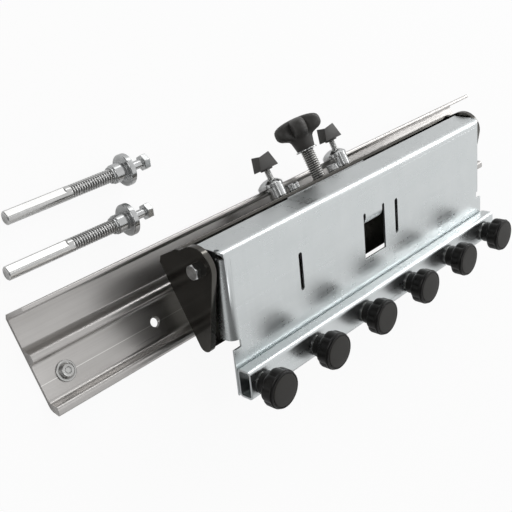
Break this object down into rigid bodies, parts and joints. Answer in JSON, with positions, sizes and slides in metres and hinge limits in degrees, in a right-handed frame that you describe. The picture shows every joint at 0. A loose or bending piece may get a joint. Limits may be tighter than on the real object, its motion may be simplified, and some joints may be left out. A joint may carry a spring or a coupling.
{
  "type": "planer blade grinding jig",
  "caption": "Jig that holds a long straight blade at a set angle and slides it along a rail past a grinding wheel; tilting clamp plate with hand knobs, stop rail and mounting posts.",
  "frame": {"origin": "on the back face of the rail's panel, midway between the two holes for the posts", "axes": "+X along the rail, +Y from its foot rib to its lip, +Z out of the panel, up when the rail's back lies on a table"},
  "size_m": [0.65, 0.2564, 0.1047],
  "materials": {
    "rail_aluminium": "extruded, satin",
    "carriage_steel": "polished, dark",
    "plate_zinc": "zinc plated sheet",
    "bright_zinc": "bright zinc plated",
    "thread_dark": "dark plated thread",
    "knob_black": "moulded, fine grain",
    "disc_brown": "moulded, satin",
    "knob_grey": "moulded, satin",
    "shoe_plastic": "machined plastic"
  },
  "bodies": {
    "base": {"rail": "rail_aluminium", "stop_screws": "bright_zinc"},
    "carriage": {"carriage": "carriage_steel", "glide_shoes": "shoe_plastic", "shoe_screws": "bright_zinc", "nut_bar": "bright_zinc", "cap_screws": "bright_zinc", "pivot_bolts": "bright_zinc", "pivot_spacers": "bright_zinc", "pivot_nuts": "bright_zinc"},
    "swing": {"swing_plate": "plate_zinc", "clamp_studs": "bright_zinc"},
    "bar": {"clamp_bar": "plate_zinc"},
    "star_collar": {"star_washer": "bright_zinc"},
    "star": {"star_screw": "thread_dark", "star_knob": "knob_grey"},
    "knob_1_collar": {"clamp_washer_1": "bright_zinc"},
    "knob_1": {"clamp_knob_1": "knob_black", "knob_disc_1": "disc_brown"},
    "knob_2_collar": {"clamp_washer_2": "bright_zinc"},
    "knob_2": {"clamp_knob_2": "knob_black", "knob_disc_2": "disc_brown"},
    "knob_3_collar": {"clamp_washer_3": "bright_zinc"},
    "knob_3": {"clamp_knob_3": "knob_black", "knob_disc_3": "disc_brown"},
    "knob_4_collar": {"clamp_washer_4": "bright_zinc"},
    "knob_4": {"clamp_knob_4": "knob_black", "knob_disc_4": "disc_brown"},
    "knob_5_collar": {"clamp_washer_5": "bright_zinc"},
    "knob_5": {"clamp_knob_5": "knob_black", "knob_disc_5": "disc_brown"},
    "knob_6_collar": {"clamp_washer_6": "bright_zinc"},
    "knob_6": {"clamp_knob_6": "knob_black", "knob_disc_6": "disc_brown"},
    "jaw_1": {"lock_jaw_1": "bright_zinc"},
    "wing_1": {"wing_screw_1": "bright_zinc", "wing_knob_1": "knob_grey"},
    "jaw_2": {"lock_jaw_2": "bright_zinc"},
    "wing_2": {"wing_screw_2": "bright_zinc", "wing_knob_2": "knob_grey"},
    "post_1": {"post_rod_1": "bright_zinc", "post_bolt_1": "bright_zinc"},
    "post_1_collar": {"post_ring_1": "bright_zinc"},
    "post_1_nut": {"post_nut_1": "bright_zinc"},
    "post_2": {"post_rod_2": "bright_zinc", "post_bolt_2": "bright_zinc"},
    "post_2_collar": {"post_ring_2": "bright_zinc"},
    "post_2_nut": {"post_nut_2": "bright_zinc"}
  },
  "joints": [
    {"name": "carriage_slide", "type": "slide", "parent": "base", "child": "carriage", "axis": [1, 0, 0], "range_m": [-0.127, 0.0944]},
    {"name": "swing_tilt", "type": "hinge", "parent": "carriage", "child": "swing", "pos_m": [0.0163, 0.0281, 0.0785], "axis": [1, 0, 0], "range_deg": [-10.5, 10.5]},
    {"name": "star_travel", "type": "slide", "parent": "carriage", "child": "star_collar", "axis": [0, 1, 0], "range_m": [-0.00499, 0.00499]},
    {"name": "star_turn", "type": "hinge", "parent": "star_collar", "child": "star", "pos_m": [0.0104, 0.0821, 0.051], "axis": [0, 1, 0], "range_deg": [-900, 900]},
    {"name": "bar_slide", "type": "slide", "parent": "swing", "child": "bar", "axis": [0, -0.4587, 0.8886], "range_m": [0, 0.005]},
    {"name": "knob_1_travel", "type": "slide", "parent": "bar", "child": "knob_1_collar", "axis": [0, -0.4587, 0.8886], "range_m": [0, 0.00374]},
    {"name": "knob_1_turn", "type": "hinge", "parent": "knob_1_collar", "child": "knob_1", "pos_m": [-0.1708, -0.08872, 0.07503], "axis": [0, -0.4587, 0.8886], "range_deg": [0, 1080]},
    {"name": "knob_2_travel", "type": "slide", "parent": "bar", "child": "knob_2_collar", "axis": [0, -0.4587, 0.8886], "range_m": [0, 0.00374]},
    {"name": "knob_2_turn", "type": "hinge", "parent": "knob_2_collar", "child": "knob_2", "pos_m": [-0.0968, -0.08872, 0.07503], "axis": [0, -0.4587, 0.8886], "range_deg": [0, 1080]},
    {"name": "knob_3_travel", "type": "slide", "parent": "bar", "child": "knob_3_collar", "axis": [0, -0.4587, 0.8886], "range_m": [0, 0.00374]},
    {"name": "knob_3_turn", "type": "hinge", "parent": "knob_3_collar", "child": "knob_3", "pos_m": [-0.0228, -0.08872, 0.07503], "axis": [0, -0.4587, 0.8886], "range_deg": [0, 1080]},
    {"name": "knob_4_travel", "type": "slide", "parent": "bar", "child": "knob_4_collar", "axis": [0, -0.4587, 0.8886], "range_m": [0, 0.00374]},
    {"name": "knob_4_turn", "type": "hinge", "parent": "knob_4_collar", "child": "knob_4", "pos_m": [0.0512, -0.08872, 0.07503], "axis": [0, -0.4587, 0.8886], "range_deg": [0, 1080]},
    {"name": "knob_5_travel", "type": "slide", "parent": "bar", "child": "knob_5_collar", "axis": [0, -0.4587, 0.8886], "range_m": [0, 0.00374]},
    {"name": "knob_5_turn", "type": "hinge", "parent": "knob_5_collar", "child": "knob_5", "pos_m": [0.1252, -0.08872, 0.07503], "axis": [0, -0.4587, 0.8886], "range_deg": [0, 1080]},
    {"name": "knob_6_travel", "type": "slide", "parent": "bar", "child": "knob_6_collar", "axis": [0, -0.4587, 0.8886], "range_m": [0, 0.00374]},
    {"name": "knob_6_turn", "type": "hinge", "parent": "knob_6_collar", "child": "knob_6", "pos_m": [0.1992, -0.08872, 0.07503], "axis": [0, -0.4587, 0.8886], "range_deg": [0, 1080]},
    {"name": "jaw_1_travel", "type": "slide", "parent": "carriage", "child": "jaw_1", "axis": [0, 1, 0], "range_m": [0, 0.00299]},
    {"name": "wing_1_turn", "type": "hinge", "parent": "jaw_1", "child": "wing_1", "pos_m": [-0.0431, 0.0791, 0.044], "axis": [0, 1, 0], "range_deg": [0, 1080]},
    {"name": "jaw_2_travel", "type": "slide", "parent": "carriage", "child": "jaw_2", "axis": [0, 1, 0], "range_m": [0, 0.00299]},
    {"name": "wing_2_turn", "type": "hinge", "parent": "jaw_2", "child": "wing_2", "pos_m": [0.0559, 0.0791, 0.044], "axis": [0, 1, 0], "range_deg": [0, 1080]},
    {"name": "post_1_lift", "type": "slide", "parent": "base", "child": "post_1", "axis": [0, 0, 1], "range_m": [0, 0.06]},
    {"name": "post_1_nut_travel", "type": "slide", "parent": "post_1", "child": "post_1_collar", "axis": [-0.9974, 0, -0.0719], "range_m": [0, 0.03499]},
    {"name": "post_1_nut_turn", "type": "hinge", "parent": "post_1_collar", "child": "post_1_nut", "pos_m": [-0.18497, 0.1321, 0.01361], "axis": [-0.9974, 0, -0.0719], "range_deg": [0, 7200]},
    {"name": "post_2_lift", "type": "slide", "parent": "base", "child": "post_2", "axis": [0, 0, 1], "range_m": [0, 0.06]},
    {"name": "post_2_nut_travel", "type": "slide", "parent": "post_2", "child": "post_2_collar", "axis": [-0.9974, 0, -0.0719], "range_m": [0, 0.03499]},
    {"name": "post_2_nut_turn", "type": "hinge", "parent": "post_2_collar", "child": "post_2_nut", "pos_m": [-0.20497, 0.0911, 0.01361], "axis": [-0.9974, 0, -0.0719], "range_deg": [0, 7200]}
  ],
  "couplings": [
    {"joint": "star_turn", "follows": "star_travel", "rad_per_m": 3141.6},
    {"joint": "swing_tilt", "follows": "star_travel", "rad_per_m": 36.364},
    {"joint": "knob_1_turn", "follows": "knob_1_travel", "rad_per_m": 5026.5},
    {"joint": "knob_2_turn", "follows": "knob_2_travel", "rad_per_m": 5026.5},
    {"joint": "knob_3_turn", "follows": "knob_3_travel", "rad_per_m": 5026.5},
    {"joint": "knob_4_turn", "follows": "knob_4_travel", "rad_per_m": 5026.5},
    {"joint": "knob_5_turn", "follows": "knob_5_travel", "rad_per_m": 5026.5},
    {"joint": "knob_6_turn", "follows": "knob_6_travel", "rad_per_m": 5026.5},
    {"joint": "wing_1_turn", "follows": "jaw_1_travel", "rad_per_m": 6283.2},
    {"joint": "wing_2_turn", "follows": "jaw_2_travel", "rad_per_m": 6283.2},
    {"joint": "post_1_nut_turn", "follows": "post_1_nut_travel", "rad_per_m": 3590.4},
    {"joint": "post_2_nut_turn", "follows": "post_2_nut_travel", "rad_per_m": 3590.4}
  ]
}
